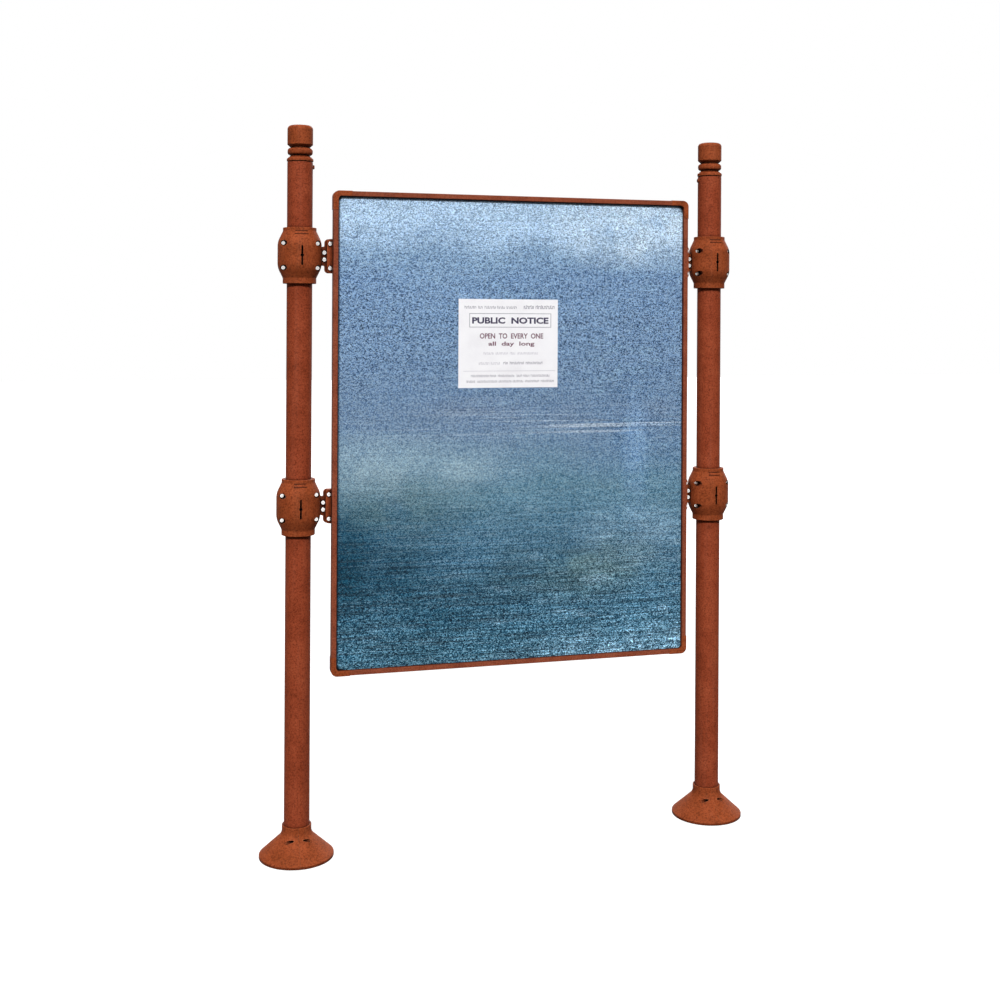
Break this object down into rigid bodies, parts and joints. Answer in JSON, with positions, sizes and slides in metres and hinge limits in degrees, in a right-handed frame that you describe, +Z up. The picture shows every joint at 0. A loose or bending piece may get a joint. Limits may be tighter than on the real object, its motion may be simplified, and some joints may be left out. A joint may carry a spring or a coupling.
{
  "type": "outdoor notice board",
  "caption": "Outdoor notice board: a framed galvanised steel sheet held by cast clamp collars between round posts with finials and conical base covers.",
  "frame": {"origin": "on the ground, midway between the post axes", "axes": "+X along the board to the viewer's right, -Y the way the board faces, +Z up"},
  "size_m": [1.634, 0.234, 2.3],
  "materials": {
    "paint_tube": "fine-textured red-brown powder coat on steel tube",
    "paint_cast": "fine-textured brown powder coat on cast metal",
    "stainless_fasteners": "bright stainless steel",
    "galvanised_sheet": "bare galvanised steel with spangle",
    "galvanised_plate": "dull galvanised steel",
    "notice_paper": "white printed paper"
  },
  "bodies": {
    "posts": {"finial_screws": "paint_cast", "left_base_plate": "galvanised_plate", "left_finial": "paint_cast", "left_post": "paint_tube", "right_base_plate": "galvanised_plate", "right_finial": "paint_cast", "right_post": "paint_tube"},
    "board": {"bracket_lower_left": "paint_cast", "bracket_lower_right": "paint_cast", "bracket_nuts": "stainless_fasteners", "bracket_upper_left": "paint_cast", "bracket_upper_right": "paint_cast", "collar_front_lower_left": "paint_cast", "collar_front_lower_right": "paint_cast", "collar_front_upper_left": "paint_cast", "collar_front_upper_right": "paint_cast", "collar_rear_lower_left": "paint_cast", "collar_rear_lower_right": "paint_cast", "collar_rear_upper_left": "paint_cast", "collar_rear_upper_right": "paint_cast", "collar_screws": "stainless_fasteners", "corner_lower_left": "paint_cast", "corner_lower_right": "paint_cast", "corner_upper_left": "paint_cast", "corner_upper_right": "paint_cast", "lug_bolts": "stainless_fasteners", "lug_lower_left": "paint_cast", "lug_lower_right": "paint_cast", "lug_upper_left": "paint_cast", "lug_upper_right": "paint_cast", "notice": "notice_paper", "rail_bottom": "paint_tube", "rail_left": "paint_tube", "rail_right": "paint_tube", "rail_top": "paint_tube", "sheet": "galvanised_sheet", "tongue_bolts": "stainless_fasteners"},
    "left_cover": {"left_cover_inner": "paint_cast", "left_cover_nuts": "stainless_fasteners", "left_cover_outer": "paint_cast", "left_cover_screws": "stainless_fasteners"},
    "right_cover": {"right_cover_inner": "paint_cast", "right_cover_nuts": "stainless_fasteners", "right_cover_outer": "paint_cast", "right_cover_screws": "stainless_fasteners"}
  },
  "joints": [
    {"name": "board_height", "type": "slide", "parent": "posts", "child": "board", "axis": [0, 0, 1], "range_m": [-0.25, 0.15]},
    {"name": "left_cover_lift", "type": "slide", "parent": "posts", "child": "left_cover", "axis": [0, 0, 1], "range_m": [0, 0.25]},
    {"name": "right_cover_lift", "type": "slide", "parent": "posts", "child": "right_cover", "axis": [0, 0, 1], "range_m": [0, 0.25]}
  ]
}
